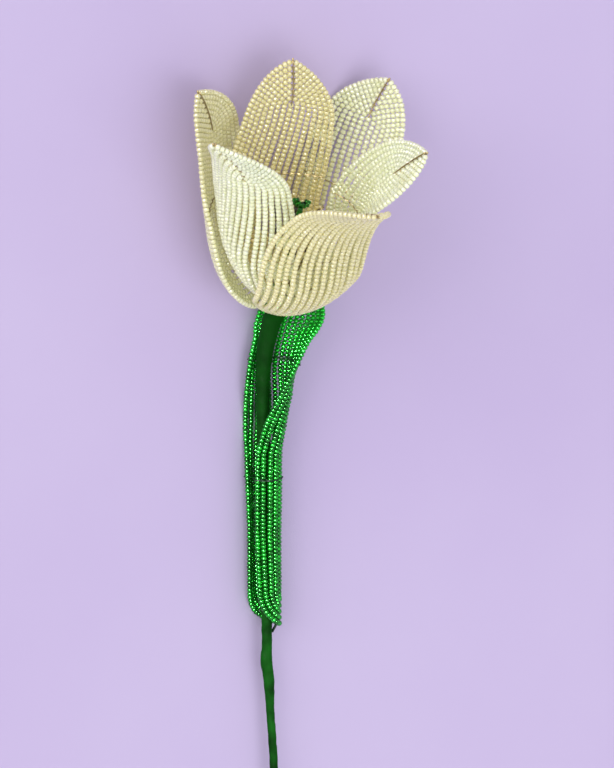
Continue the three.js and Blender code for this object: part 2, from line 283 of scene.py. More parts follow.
def half_loop(half_width, foot_centre, point_at):
    """One side of a loop, from its round foot to its point, as (across, along) pairs."""
    arch = half_width / (1 - math.cos(POINT_HALF_ANGLE))
    points = []
    for i in range(ARC_STEPS + 1):
        turn = i / ARC_STEPS * math.pi / 2
        points.append((half_width * math.sin(turn), foot_centre - half_width * math.cos(turn)))
    straight_from = foot_centre
    straight_to = point_at - arch * math.sin(POINT_HALF_ANGLE)
    straight_steps = max(2, round((straight_to - straight_from) / STRAIGHT_STEP))
    for i in range(1, straight_steps):
        points.append((half_width, mix(straight_from, straight_to, i / straight_steps)))
    for i in range(ARC_STEPS + 1):
        turn = i / ARC_STEPS * POINT_HALF_ANGLE
        rise = arch * (math.sin(POINT_HALF_ANGLE) - math.sin(turn))
        points.append((arch * (math.cos(turn) - math.cos(POINT_HALF_ANGLE)), point_at - rise))
    return points


def spread_share(at, length):
    """How far the rows have parted at a height, from 0 at both ends to 1 between them."""
    share = (at - PARTED_FROM_FOOT) / (length - PARTED_FROM_FOOT - PARTED_TO_TIP)
    return math.sin(math.pi * clamp(share))


class Blade:
    """A beaded blade: its pattern, its place in space, its beads and its wires."""

    def __init__(self, place, length, loops, pitch, stray):
        self.place = place
        self.length = length
        self.loops = loops
        self.pitch = pitch
        self.foot_centre = loops * pitch
        self.point_centre = length - loops * pitch
        self.stray = {row: rng.uniform(-stray, stray) for row in range(-loops, loops + 1)}

    def normal(self, across, at, near=0.4):
        """Square to the blade, towards the inside of the bloom or sheath."""
        up = self.place(across, at + near) - self.place(across, at - near)
        over = self.place(across + near, at) - self.place(across - near, at)
        return over.cross(up).normalized()

    def rows(self):
        """Each row's signed number and its pattern line from foot to point."""
        steps = max(2, round((self.point_centre - self.foot_centre) / STRAIGHT_STEP))
        heights = [mix(self.foot_centre, self.point_centre, i / steps) for i in range(steps + 1)]
        centre = [(0.0, at) for at in heights]
        yield 0, centre
        for loop in range(1, self.loops + 1):
            half_width = loop * self.pitch
            half = half_loop(half_width, self.foot_centre, self.point_centre + half_width)
            yield loop, half
            yield -loop, [(-across, at) for across, at in half]

    def in_space(self, row, line):
        """A row's line in space, with the small stray that opens slits beside it."""
        points = []
        for across, at in line:
            stray = self.stray[row] * spread_share(at, self.length)
            points.append(self.place(across + stray, at))
        return points


# %% [markdown]
# ## Beads and wires of a blade
#
# The wire runs through every row. At the tip and at the foot each loop crosses a spine of bare wire and
# is wound round it once, and a thin lacing wire holds the rows side by side further down. The spine
# lies on the inner face, so the outer face shows beads only.

# %% Thread a blade and lay its wires
ROW_WIRE = 0.22
SPINE_WIRE = 0.22
WRAP_WIRE = 0.36
ROOT_WIRE = 0.45
PETAL_LACING_WIRE = 0.2
LEAF_LACING_WIRE = 0.22
CENTRE_ROW_GAP = 0.2
SPINE_STEPS = 18
SPINE_PAST_TIP = 0.3
FOOT_SPINE_LIFT = 0.5
WRAP_HALF_LENGTH = 0.5
LACING_STEPS_PER_ROW = 6
LACING_OVERHANG = 0.6
LACING_DIP = 0.16


def blade_beads(blade, bead_radius, bead_pitch, spine_gap, look):
    """Matrices and looks of all the beads. look(across, at) gives a bead's share of painted light."""
    strung = []
    for row, line in blade.rows():
        points = blade.in_space(row, line)
        reach = [0.0]
        for a, b in zip(points, points[1:]):
            reach.append(reach[-1] + (b - a).length)
        gap = CENTRE_ROW_GAP if row == 0 else spine_gap
        beads = walk(points, bead_pitch, gap, gap)
        for i, (middle, run) in enumerate(beads):
            at = gap + (i + 0.5) * (reach[-1] - 2 * gap) / len(beads)
            along = on_line(at, reach, [pair[1] for pair in line])
            across = on_line(at, reach, [pair[0] for pair in line])
            matrix = bead_matrix(middle, run, bead_radius, bead_pitch * 0.5)
            # The second number is painted light, set by the bead's place.
            strung.append((matrix, rng.random(), look(across, along)))
    return strung


def lay_row_wires(bm, blade):
    for row, line in blade.rows():
        bend_rod(bm, blade.in_space(row, line), lambda step, angle: ROW_WIRE, sides=4)


def lay_spine(bm, blade, at_from, at_to, lift, knots):
    """Bare wire on the inner face from one height to another, with a wrap at each knot."""
    ats = [mix(at_from, at_to, i / SPINE_STEPS) for i in range(SPINE_STEPS + 1)]
    path = [blade.place(0, at) + blade.normal(0, at) * lift for at in ats]

    def radius(step, angle):
        nearest = min(abs(ats[step] - knot) for knot in knots)
        return mix(WRAP_WIRE, SPINE_WIRE, clamp(nearest / WRAP_HALF_LENGTH))

    bend_rod(bm, path, radius, sides=8)


def lay_lacing(bm, blade, at, reach, lift, faces, thickness):
    """Thin wire across the rows, dipping between them, on the inner face (1), the outer (-1) or both.

    It goes as far as reach to each side of the middle.
    """
    half_width = blade.loops * blade.pitch + LACING_OVERHANG
    count = round(2 * half_width / blade.pitch * LACING_STEPS_PER_ROW)
    for face in faces:
        path = []
        for i in range(count + 1):
            across = mix(-half_width, half_width, i / count)
            if abs(across) > reach:
                continue
            wave = math.cos(math.tau * across / blade.pitch)
            height = lift * (1 - LACING_DIP + LACING_DIP * wave)
            path.append(blade.place(across, at) + blade.normal(across, at) * height * face)
        bend_rod(bm, path, lambda step, angle: thickness, sides=5)


# %% [markdown]
# ## Petals
#
# Each petal is described from its foot: the azimuth at which it leaves the axis and the one that it
# reaches at its tip, how its middle line bends outwards and up, and how tightly it is cupped. Walking
# up the middle line in short steps gives the radius and height, and the cup turns the rows inwards.

# %% The six petals in numbers
PETAL_LENGTH = 81
PETAL_ROW_PITCH = 2.1
PETAL_LOOPS = 7
PETAL_ROW_SPREAD = 0.22
BEND_AT = [0, 0.2, 0.45, 0.75, 1]
CUP_AT = [0, 0.5, 1]
# The last pair of each petal is painted light: how golden its beads are painted at tip and foot.
PETALS = [
    {"foot": (5, -1.5), "root": (4.1, -2.3), "azimuths": (-75.5, -71.4),
     "bend": (13, 49, 70, 78, 58), "cup": (18, 24.9, 54.5),
     "roll": 10, "lean": -6.4, "lean_from": 0.55, "painted_glow": (0.55, 0.3)},
    {"foot": (4.2, 1.6), "root": (2.6, -0.1), "azimuths": (-27.5, -7.2),
     "bend": (14, 56, 82, 71, 75), "cup": (23, 33.5, 53),
     "roll": -4.1, "lean": -2, "lean_from": 0.5, "painted_glow": (0.7, 1)},
    {"foot": (5, -1.5), "root": (4.1, -2.3), "azimuths": (35, 23.3),
     "bend": (8, 47, 65, 44, 85), "cup": (20.3, 17.6, 58.4),
     "roll": -6.3, "lean": 7.5, "lean_from": 0.45, "painted_glow": (0.2, 0.6)},
    {"foot": (4.8, 2.2), "root": (2.6, -0.1), "azimuths": (86, 80.3),
     "bend": (40, 50, 98, 62, 60), "cup": (14, 14, 49.7),
     "roll": -2.4, "lean": 8.5, "lean_from": 0.45, "painted_glow": (0.05, 0.4)},
    {"foot": (4.6, -0.7), "root": (4.1, -2.3), "azimuths": (154.8, 166),
     "bend": (35, 53, 101, 70, 35), "cup": (14, 36.1, 43.7),
     "roll": -3, "lean": -12.5, "lean_from": 0.4, "painted_glow": (0.6, 0.6)},
    {"foot": (4.8, 2.2), "root": (2.6, -0.1), "azimuths": (-141.2, -167.7),
     "bend": (44, 48, 99, 90, 64), "cup": (14, 19.4, 18.6),
     "roll": 18.9, "lean": 6.8, "lean_from": 0.8, "painted_glow": (0.05, 0.2)},
]
# A petal swings from its foot's azimuth to its tip's between these shares of its length.
SWING_BETWEEN = (0.3, 0.9)
# It rolls sideways about a place this far up. The roll sets in from one height, over a stretch.
ROLL_ABOUT = 20
ROLL_FROM = 10
ROLL_EASE = 20
# Its painted golden glow, standing for light bounced deep in the cup, deepens between these
# distances from the tip.
PAINTED_GLOW_BETWEEN = (12, 66)

# %% Put a petal's pattern in space


def in_bloom(azimuth, radius, height, shift=0.0):
    """A point of the bloom by its azimuth, its distance from the axis and its height along it."""
    out = UNDER * math.cos(azimuth) + BESIDE * math.sin(azimuth)
    over = BESIDE * math.cos(azimuth) - UNDER * math.sin(azimuth)
    return BLOOM_BASE + AXIS * height + out * radius + over * shift


def middle_line(petal, steps=90):
    foot_radius, foot_height = petal["foot"]
    line = {"at": [0.0], "radius": [foot_radius], "height": [foot_height],
            "slope": [math.radians(petal["bend"][0])]}
    step = PETAL_LENGTH / steps
    for i in range(1, steps + 1):
        halfway = math.radians(on_line((i - 0.5) / steps, BEND_AT, petal["bend"]))
        line["at"].append(i * step)
        line["radius"].append(line["radius"][-1] + step * math.cos(halfway))
        line["height"].append(line["height"][-1] + step * math.sin(halfway))
        line["slope"].append(math.radians(on_line(i / steps, BEND_AT, petal["bend"])))
    return line


def petal_place(petal):
    line = middle_line(petal)
    foot_azimuth, tip_azimuth = (math.radians(angle) for angle in petal["azimuths"])

    def place(across, at):
        share = clamp(at / PETAL_LENGTH)
        cup = on_line(share, CUP_AT, petal["cup"])
        turn = across * (1 + PETAL_ROW_SPREAD * spread_share(at, PETAL_LENGTH)) / cup
        inward = cup * (1 - math.cos(turn))
        slope = on_line(at, line["at"], line["slope"])
        radius = on_line(at, line["at"], line["radius"]) - inward * math.sin(slope)
        height = on_line(at, line["at"], line["height"]) + inward * math.cos(slope)
        rolled = (at - ROLL_ABOUT) * math.tan(math.radians(petal["roll"]))
        tilted = rolled * clamp((at - ROLL_FROM) / ROLL_EASE)
        leaning = petal["lean"] * clamp((share - petal["lean_from"]) / (1 - petal["lean_from"])) ** 2
        azimuth = mix(foot_azimuth, tip_azimuth, smooth_step(share, *SWING_BETWEEN))
        return in_bloom(azimuth, radius, height, cup * math.sin(turn) + tilted + leaning)

    return place


# %% Make the petals
CREAM_RADIUS = 0.99
CREAM_PITCH = 1.6
CREAM_SPINE_GAP = 0.42
PETAL_STRAY = 0.26
PETAL_LACING_AT = 41
PETAL_LACING_LIFT = CREAM_RADIUS + 0.08
PETAL_TIP_SPINE_LIFT = 0.75
TWIST_RADII = [0.24, 0.36, 0.4, 0.32, 0.4, 0.2]
TWIST_STEP = 0.35
TWIST_BELOW_TIP = 0.6
TWIST_LIFT = 0.2


def petal_painted_glow(petal):
    """How golden each bead is painted: painted light bounced in the cup, deepest at the foot."""
    at_tip, at_foot = petal["painted_glow"]
    return lambda across, at: mix(at_tip, at_foot, smooth_step(PETAL_LENGTH - at, *PAINTED_GLOW_BETWEEN))


def tip_twist(bm, blade):
    """The wire's end, twisted into a small knob at the point."""
    top = blade.place(0, blade.length)
    up = (top - blade.place(0, blade.length - 1)).normalized()
    start = top + blade.normal(0, blade.length) * TWIST_LIFT
    path = [start + up * (i * TWIST_STEP - TWIST_BELOW_TIP) for i in range(len(TWIST_RADII))]
    bend_rod(bm, path, lambda step, angle: TWIST_RADII[step], sides=8)


def make_petal(number, petal):
    blade = Blade(petal_place(petal), PETAL_LENGTH, PETAL_LOOPS, PETAL_ROW_PITCH, PETAL_STRAY)
    strung = blade_beads(blade, CREAM_RADIUS, CREAM_PITCH, CREAM_SPINE_GAP, petal_painted_glow(petal))
    beads = bead_piece(f"petal_{number}_beads", strung)
    bm = bmesh.new()
    lay_row_wires(bm, blade)
    loops = range(1, PETAL_LOOPS + 1)
    tip_knots = [blade.point_centre + loop * PETAL_ROW_PITCH for loop in loops]
    lay_spine(bm, blade, blade.point_centre - 1, PETAL_LENGTH + SPINE_PAST_TIP,
              PETAL_TIP_SPINE_LIFT, tip_knots)
    foot_knots = [blade.foot_centre - loop * PETAL_ROW_PITCH for loop in loops]
    lay_spine(bm, blade, blade.foot_centre + 1, 0, FOOT_SPINE_LIFT, foot_knots)
    root = in_bloom(math.radians(petal["azimuths"][0]), *petal["root"])
    root_path = [blade.place(0, 0.5), blade.place(0, 0), root]
    bend_rod(bm, root_path, lambda step, angle: ROOT_WIRE, sides=6)
    lay_lacing(bm, blade, PETAL_LACING_AT, blade.loops * blade.pitch, PETAL_LACING_LIFT,
               (1,), PETAL_LACING_WIRE)
    tip_twist(bm, blade)
    wires = mesh_piece(f"petal_{number}_wires", bm)
    return beads, wires


petal_pieces = [make_petal(i + 1, petal) for i, petal in enumerate(PETALS)]
for beads, wires in petal_pieces:
    print(beads.name, len(beads.data.vertices) // len(BEAD.vertices), "beads")

# %% [markdown]
# ## The stem
#
# The wires of all the parts are bound together and wound with stretchy paper tape. Each turn of the
# tape covers part of the one before and leaves a low slanted edge, and a bound wire end swells it here
# and there. The rod's radius is the plain stem's, plus those swellings, plus the edge of the tape,
# which climbs round the stem like a screw thread.

# %% Bend the taped stem
STEM_PATH = [
    (-0.23, -1.19, -0.7, 3.1),
    (-0.85, -3.6, -2, 3.3),
    (-2.6, -7.2, -3.3, 3.3),
    (-3.9, -12.5, -4.2, 3),
    (-4.8, -17.5, -4.6, 2.8),
    (-5.5, -26, -5, 2.3),
    (-5.4, -46, -6, 2.2),
    (-4.6, -76, -7.4, 2),
    (-4.4, -106, -8.8, 1.8),
    (-4.1, -126, -9.7, 1.5),
    (-3.2, -140, -10.4, 1.35),
    (-2, -160, -11.3, 1.35),
    (-1.6, -190, -12.7, 1.35),
    (-2, -222, -14.05, 1.35),
]
TAPE_BUMPS = [
    {"along": 123, "side": math.pi, "height": 0.7, "length": 4},
    {"along": 130, "side": 0, "height": 0.6, "length": 5},
]
STEM_STEPS = 420
STEM_SIDES = 20
STEM_SPAN_STEPS = 24
# The tape climbs this far in one turn. Its edge wanders a little and rises over this share of a turn.
TAPE_TURN = 9.5
TAPE_EDGE = 0.13
TAPE_WANDER = 0.15
TAPE_EDGE_SHARE = 0.08
TAPE_LUMPS = 0.05


def catmull_rom(points, per_span):
    """A smooth line through points, with centripetal spacing."""
    ends = [points[0] * 2 - points[1], *points, points[-1] * 2 - points[-2]]
    line = []
    for p0, p1, p2, p3 in zip(ends, ends[1:], ends[2:], ends[3:]):
        t1 = (p1 - p0).length ** 0.5
        t2 = t1 + (p2 - p1).length ** 0.5
        t3 = t2 + (p3 - p2).length ** 0.5
        for i in range(per_span):
            t = mix(t1, t2, i / per_span)
            a1 = p0.lerp(p1, t / t1)
            a2 = p1.lerp(p2, (t - t1) / (t2 - t1))
            a3 = p2.lerp(p3, (t - t2) / (t3 - t2))
            b1 = a1.lerp(a2, t / t2)
            b2 = a2.lerp(a3, (t - t1) / (t3 - t1))
            line.append(b1.lerp(b2, (t - t1) / (t2 - t1)))
    line.append(points[-1])
    return line


def evenly(points, steps):
    """Points at even steps along a line, both ends included."""
    reach = [0.0]
    for a, b in zip(points, points[1:]):
        reach.append(reach[-1] + (b - a).length)
    even = []
    segment = 1
    for i in range(steps + 1):
        at = reach[-1] * i / steps
        while segment < len(reach) - 1 and reach[segment] < at:
            segment += 1
        share = (at - reach[segment - 1]) / (reach[segment] - reach[segment - 1])
        even.append(points[segment - 1].lerp(points[segment], share))
    return even, reach[-1]


stem_points = [BLOOM_BASE + Vector(point[:3]) for point in STEM_PATH]
stem_curve = catmull_rom(stem_points, STEM_SPAN_STEPS)
stem_line, stem_length = evenly(stem_curve, STEM_STEPS)
stem_run = [0.0]
for here, after in zip(stem_points, stem_points[1:]):
    stem_run.append(stem_run[-1] + (after - here).length)


def tape_radius(step, angle):
    at = step / STEM_STEPS * stem_length
    radius = on_line(at, stem_run, [point[3] for point in STEM_PATH])
    for bump in TAPE_BUMPS:
        facing = max(0.0, math.cos(angle - bump["side"]))
        radius += bump["height"] * facing * math.exp(-(((at - bump["along"]) / bump["length"]) ** 2))
    thread = (at / TAPE_TURN + angle / math.tau + TAPE_WANDER * math.sin(at * 0.21)) % 1
    edge = TAPE_EDGE * smooth_step(thread, 0.0, TAPE_EDGE_SHARE) * (1 - 0.75 * thread)
    lumps = TAPE_LUMPS * math.sin(at * 1.3 + 2 * angle) * math.sin(at * 0.37 - angle)
    return radius + edge + lumps - TAPE_EDGE * 0.5


bm = bmesh.new()
bend_rod(bm, stem_line, tape_radius, STEM_SIDES, side_hint=Vector((1, 0, 0)))
stem = mesh_piece("stem_tape", bm)
print("stem length in millimetres:", round(stem_length, 1))

# %% [markdown]
# ## The leaf
#
# The leaf is the same kind of blade, in green beads, rolled round the stem as a sheath. It is open at
# the front and fans out flat under the bloom. At stations along it the wrap has its own radius, slope
# and place beside the stem, and the rows between are found by walking sideways from the centre row.

# %% Wrap the leaf round the stem
LEAF_LENGTH = 117.5
LEAF_ROW_PITCH = 1.9
LEAF_LOOPS = 6
LEAF_ROW_SPREAD = 0.1
LEAF_FOOT_Y = -110
LEAF_STATIONS = [
    {"along": 0, "wrap": 4.9, "tighter": 0, "slope": 60, "beside": 3.4, "above": -2.4},
    {"along": 31.5, "wrap": 4.8, "tighter": 0, "slope": 62, "beside": 3.6, "above": -2.8},
    {"along": 58.5, "wrap": 5.2, "tighter": 0.2, "slope": 62, "beside": 4.6, "above": -3},
    {"along": 67.5, "wrap": 5.8, "tighter": 0.7, "slope": 50, "beside": 5.6, "above": -3.4},
    {"along": 77.5, "wrap": 6.8, "tighter": 0.6, "slope": 31, "beside": 5.9, "above": -3.8},
    {"along": 86.5, "wrap": 7.9, "tighter": -0.2, "slope": 27, "beside": 5.4, "above": -4.5},
    {"along": 96.5, "wrap": 9.6, "tighter": -0.3, "slope": 18, "beside": 6.2, "above": -5.4},
    {"along": 107.5, "wrap": 26, "tighter": 0, "slope": 3, "beside": 6.7, "above": -7.6},
    {"along": 117.5, "wrap": 40, "tighter": 0, "slope": 0, "beside": 8.4, "above": -9.3},
]
LEAF_ALONGS = [station["along"] for station in LEAF_STATIONS]

GUIDE_STEPS = 120
NECK_Y = BLOOM_BASE.y + STEM_PATH[2][1]

guide_line = list(reversed(evenly(stem_curve, GUIDE_STEPS)[0]))
guide_ys = [point.y for point in guide_line]


def stem_middle_at(y):
    """The stem's middle where it passes a given y. Past the neck it keeps the neck's x and z."""
    held = min(y, NECK_Y)
    x = on_line(held, guide_ys, [point.x for point in guide_line])
    z = on_line(held, guide_ys, [point.z for point in guide_line])
    return Vector((x, y, z))


def leaf_place(across, at, steps=16):
    """A pattern point in space, found by walking sideways from the centre row."""
    def value(name):
        return on_line(at, LEAF_ALONGS, [station[name] for station in LEAF_STATIONS])

    half_width = LEAF_LOOPS * LEAF_ROW_PITCH
    target = across * (1 + LEAF_ROW_SPREAD * spread_share(at, LEAF_LENGTH))
    slope, tighter, wrap = math.radians(value("slope")), value("tighter"), value("wrap")
    beside, above = value("beside"), value("above")
    for i in range(steps):
        u = (i + 0.5) / steps * target
        turned = slope + (u + tighter * u * u / (2 * half_width)) / wrap
        beside += target / steps * math.cos(turned)
        above += target / steps * math.sin(turned)
    return stem_middle_at(BLOOM_BASE.y + LEAF_FOOT_Y + at) + Vector((beside, 0, above))


# %% Make the leaf
GREEN_RADIUS = 0.96
GREEN_PITCH = 1.3
GREEN_SPINE_GAP = 0.35
LEAF_STRAY = 0.14
LEAF_LACINGS = [49.5, 89]
LEAF_LACING_LIFT = GREEN_RADIUS + 0.1
LEAF_TIP_SPINE_LIFT = 0.7
LEAF_ROOT_BELOW = 3
LEAF_ROOT_RADIUS = 2
# Between these heights the beads are painted from the sheath's deep green to a lighter green:
# painted light where the fan lies flat and faces the light.
PAINTED_LIGHT_BETWEEN = (84, 100)
MOST_PAINTED_LIGHT = 0.8


# Painted light: the fan's beads are painted lighter where they face the light.
def leaf_painted_light(across, at):
    return MOST_PAINTED_LIGHT * smooth_step(at, *PAINTED_LIGHT_BETWEEN)


leaf_blade = Blade(leaf_place, LEAF_LENGTH, LEAF_LOOPS, LEAF_ROW_PITCH, LEAF_STRAY)
leaf = bead_piece("leaf_beads", blade_beads(
    leaf_blade, GREEN_RADIUS, GREEN_PITCH, GREEN_SPINE_GAP, leaf_painted_light))
bm = bmesh.new()
lay_row_wires(bm, leaf_blade)
leaf_loops = range(1, LEAF_LOOPS + 1)
lay_spine(bm, leaf_blade, leaf_blade.point_centre - 1, LEAF_LENGTH + SPINE_PAST_TIP,
          LEAF_TIP_SPINE_LIFT,
          [leaf_blade.point_centre + loop * LEAF_ROW_PITCH for loop in leaf_loops])
lay_spine(bm, leaf_blade, leaf_blade.foot_centre + 1, 0, FOOT_SPINE_LIFT,
          [leaf_blade.foot_centre - loop * LEAF_ROW_PITCH for loop in leaf_loops])
for lacing_at in LEAF_LACINGS:
    lay_lacing(bm, leaf_blade, lacing_at, leaf_blade.loops * leaf_blade.pitch + LACING_OVERHANG,
               LEAF_LACING_LIFT, (1, -1), LEAF_LACING_WIRE)
leaf_foot = leaf_place(0, 0)
stem_beside_foot = stem_middle_at(leaf_foot.y - LEAF_ROOT_BELOW)
away = leaf_foot - stem_beside_foot
away.y = 0
leaf_root = stem_beside_foot + away.normalized() * LEAF_ROOT_RADIUS
bend_rod(bm, [leaf_place(0, 0.5), leaf_foot, leaf_root], lambda step, angle: ROOT_WIRE, sides=6)
leaf_wires = mesh_piece("leaf_wires", bm)
print("leaf beads:", len(leaf.data.vertices) // len(BEAD.vertices))

# %% [markdown]
# ## Inside the bloom
#
# A tulip has six stamens round a pistil with three lobes. Here each stamen is a wire with a short row
# of dark brown beads as its anther and a small eye at its top. The pistil is a row of dark green beads
# that ends in three small loops of beads, bent outwards.

# %% Make the pistil and the stamens
CENTRE_FOOT = -0.6
PISTIL_HEIGHT = 44.3
PISTIL_BEADS_FROM = 8
STALK_BELOW_TOP = 3.4
STALK_WIRE = 0.42
LOBES = 3
LOBE_BELOW_TOP = 1.7
LOBE_FIRST_TURN = 0.4
LOBE_SPREAD = 1.8
LOBE_RING = 0.88
LOBE_BEADS = 5
LOBE_BEAD_RADIUS = 0.95
LOBE_BEAD_HALF_LENGTH = 0.52
STAMEN_HEIGHT = 37.5
STAMEN_FOOT_RADIUS = 1.3
STAMEN_TIP_RADIUS = 8.5
ANTHER_LENGTH = 13
STAMEN_FIRST_AZIMUTH = 53
STAMEN_COUNT = 6
STAMEN_CURVE = 1.3
STAMEN_STEPS = 24
ANTHER_STEPS = 8
FILAMENT_WIRE = 0.34
EYE_RADIUS = 0.75
EYE_WIRE = 0.22
EYE_STEPS = 12
BROWN_RADIUS = 0.98
BROWN_PITCH = 1.5


def pistil_beads():
    strung = []
    stalk_ends = (PISTIL_BEADS_FROM, PISTIL_HEIGHT - STALK_BELOW_TOP)
    stalk = [in_bloom(0, 0, height) for height in stalk_ends]
    for middle, run in walk(stalk, GREEN_PITCH, 0, 0):
        matrix = bead_matrix(middle, run, GREEN_RADIUS, GREEN_PITCH * 0.5)
        strung.append((matrix, rng.random(), 0))
    for lobe in range(LOBES):
        azimuth = lobe / LOBES * math.tau + math.pi
        centre = in_bloom(azimuth, LOBE_SPREAD, PISTIL_HEIGHT - LOBE_BELOW_TOP)
        out = (in_bloom(azimuth, 1, 0) - in_bloom(azimuth, 0, 0)).normalized()
        for i in range(LOBE_BEADS):
            turn = i / LOBE_BEADS * math.tau + LOBE_FIRST_TURN
            spoke = out * math.cos(turn) + AXIS * math.sin(turn)
            run = AXIS * math.cos(turn) - out * math.sin(turn)
            matrix = bead_matrix(centre + spoke * LOBE_RING, run, LOBE_BEAD_RADIUS,
                                 LOBE_BEAD_HALF_LENGTH)
            strung.append((matrix, rng.random(), 0))
    return strung


def stamen_point(azimuth, share):
    radius = mix(STAMEN_FOOT_RADIUS, STAMEN_TIP_RADIUS, share ** STAMEN_CURVE)
    return in_bloom(azimuth, radius, mix(CENTRE_FOOT, STAMEN_HEIGHT, share))


def make_stamen(number):
    azimuth = math.radians(STAMEN_FIRST_AZIMUTH) + (number - 1) / STAMEN_COUNT * math.tau
    path = [stamen_point(azimuth, i / STAMEN_STEPS) for i in range(STAMEN_STEPS + 1)]
    anther_from = 1 - ANTHER_LENGTH / STAMEN_HEIGHT
    shares = [mix(anther_from, 1, i / ANTHER_STEPS) for i in range(ANTHER_STEPS + 1)]
    anther = [stamen_point(azimuth, share) for share in shares]
    strung = [(bead_matrix(middle, run, BROWN_RADIUS, BROWN_PITCH * 0.5), rng.random(), 0)
              for middle, run in walk(anther, BROWN_PITCH, 0, 0)]
    beads = bead_piece(f"stamen_{number}_beads", strung)
    bm = bmesh.new()
    bend_rod(bm, path, lambda step, angle: FILAMENT_WIRE, sides=6)
    top, below = path[-1], path[-2]
    up = (top - below).normalized()
    out = (in_bloom(azimuth, 1, 0) - in_bloom(azimuth, 0, 0)).normalized()
    turns = [i / EYE_STEPS * math.tau for i in range(EYE_STEPS + 1)]
    eye = [top + (up * (1 - math.cos(turn)) + out * math.sin(turn)) * EYE_RADIUS for turn in turns]
    bend_rod(bm, eye, lambda step, angle: EYE_WIRE, sides=5, side_hint=up.cross(out))
    wires = mesh_piece(f"stamen_{number}_wire", bm)
    return beads, wires


pistil = bead_piece("pistil_beads", pistil_beads())
bm = bmesh.new()
stalk_heights = [mix(CENTRE_FOOT, PISTIL_HEIGHT - 2, i / 8) for i in range(9)]
bend_rod(bm, [in_bloom(0, 0, height) for height in stalk_heights],
         lambda step, angle: STALK_WIRE, sides=6)
pistil_wire = mesh_piece("pistil_wire", bm)
stamen_pieces = [make_stamen(number) for number in range(1, STAMEN_COUNT + 1)]
print("stamens:", len(stamen_pieces))

# %% [markdown]
# ## Shared effects
#
# Every kind of bead takes its colour from the same idea: a body colour that varies from bead to bead,
# pale in some and deep in others, and turns to a third colour where the attribute says so. That third
# colour is painted light: a golden glow in the petals for light bounced deep in the cup, and a lighter
# green in the leaf's fan where it lies flat and faces the light. That is one node group, placed in each
# glass material with its own colours. A second group, a soft blotchy noise, makes the shine of the
# wires uneven and mottles the tape and the floor.

# %% Helpers for nodes


# Places of the Mix node's colour sockets, which share their names with those of its other kinds.
MIX_FACTOR, MIX_FIRST, MIX_SECOND, MIX_RESULT = 0, 6, 7, 2


def new_group(name, inputs, outputs):
    group = bpy.data.node_groups.new(name, "ShaderNodeTree")
    for label, kind, default in inputs:
        socket = group.interface.new_socket(name=label, in_out="INPUT", socket_type=kind)
        socket.default_value = default
    for label, kind in outputs:
        group.interface.new_socket(name=label, in_out="OUTPUT", socket_type=kind)
    return group, group.nodes.new("NodeGroupInput"), group.nodes.new("NodeGroupOutput")


def mix_colours(nodes, links, factor, first, second):
    node = nodes.new("ShaderNodeMix")
    node.data_type = "RGBA"
    links.new(factor, node.inputs[MIX_FACTOR])
    links.new(first, node.inputs[MIX_FIRST])
    links.new(second, node.inputs[MIX_SECOND])
    return node.outputs[MIX_RESULT]


def plain_colour(nodes, colour):
    node = nodes.new("ShaderNodeRGB")
    node.outputs[0].default_value = colour
    return node.outputs[0]


def map_value(nodes, links, value, to_low, to_high, from_low=0.0, from_high=1.0):
    node = nodes.new("ShaderNodeMapRange")
    node.inputs["From Min"].default_value = from_low
    node.inputs["From Max"].default_value = from_high
    node.inputs["To Min"].default_value = to_low
    node.inputs["To Max"].default_value = to_high
    links.new(value, node.inputs["Value"])
    return node.outputs["Result"]


# %% Build the bead tone group
COLOUR = "NodeSocketColor"
FLOAT = "NodeSocketFloat"
GLASS_ROUGHNESS = (0.1, 0.24)


def bead_tone_group():
    group, given, result = new_group(
        "bead_tone",
        [("Deep", COLOUR, (0.5, 0.5, 0.5, 1)), ("Pale", COLOUR, (1, 1, 1, 1)),
         ("Warm", COLOUR, (1, 0.8, 0.4, 1)), ("Warmth", FLOAT, 0.5)],
        [("Color", COLOUR), ("Roughness", FLOAT)])
    nodes, links = group.nodes, group.links
    attribute = nodes.new("ShaderNodeAttribute")
    attribute.attribute_name = "bead"
    parts = nodes.new("ShaderNodeSeparateColor")
    links.new(attribute.outputs["Color"], parts.inputs["Color"])
    tone = mix_colours(nodes, links, parts.outputs["Red"], given.outputs["Deep"], given.outputs["Pale"])
    # Painted light: the attribute's second channel mixes in the painted glow colour.
    painted_light = nodes.new("ShaderNodeMath")
    painted_light.operation = "MULTIPLY"
    links.new(parts.outputs["Green"], painted_light.inputs[0])
    links.new(given.outputs["Warmth"], painted_light.inputs[1])
    coloured = mix_colours(nodes, links, painted_light.outputs["Value"], tone, given.outputs["Warm"])
    links.new(coloured, result.inputs["Color"])
    roughness = map_value(nodes, links, parts.outputs["Red"], *GLASS_ROUGHNESS)
    links.new(roughness, result.inputs["Roughness"])
    return group


BEAD_TONE = bead_tone_group()

# %% Build the smudge group


def smudge_group():
    group, given, result = new_group(
        "smudge", [("Scale", FLOAT, 300.0), ("Low", FLOAT, 0.2), ("High", FLOAT, 0.5)],
        [("Value", FLOAT)])
    nodes, links = group.nodes, group.links
    place = nodes.new("ShaderNodeTexCoord")
    noise = nodes.new("ShaderNodeTexNoise")
    noise.inputs["Detail"].default_value = 4
    links.new(place.outputs["Object"], noise.inputs["Vector"])
    links.new(given.outputs["Scale"], noise.inputs["Scale"])
    spread = nodes.new("ShaderNodeMapRange")
    spread.inputs["From Min"].default_value = 0.3
    spread.inputs["From Max"].default_value = 0.7
    links.new(noise.outputs["Fac"], spread.inputs["Value"])
    links.new(given.outputs["Low"], spread.inputs["To Min"])
    links.new(given.outputs["High"], spread.inputs["To Max"])
    links.new(spread.outputs["Result"], result.inputs["Value"])
    return group


SMUDGE = smudge_group()


def add_group(material, group, **values):
    node = material.node_tree.nodes.new("ShaderNodeGroup")
    node.node_tree = group
    for label, value in values.items():
        node.inputs[label].default_value = value
    return node


def new_material(name):
    material = bpy.data.materials.new(name)
    material.use_nodes = True
    return material, material.node_tree.nodes["Principled BSDF"], material.node_tree.links


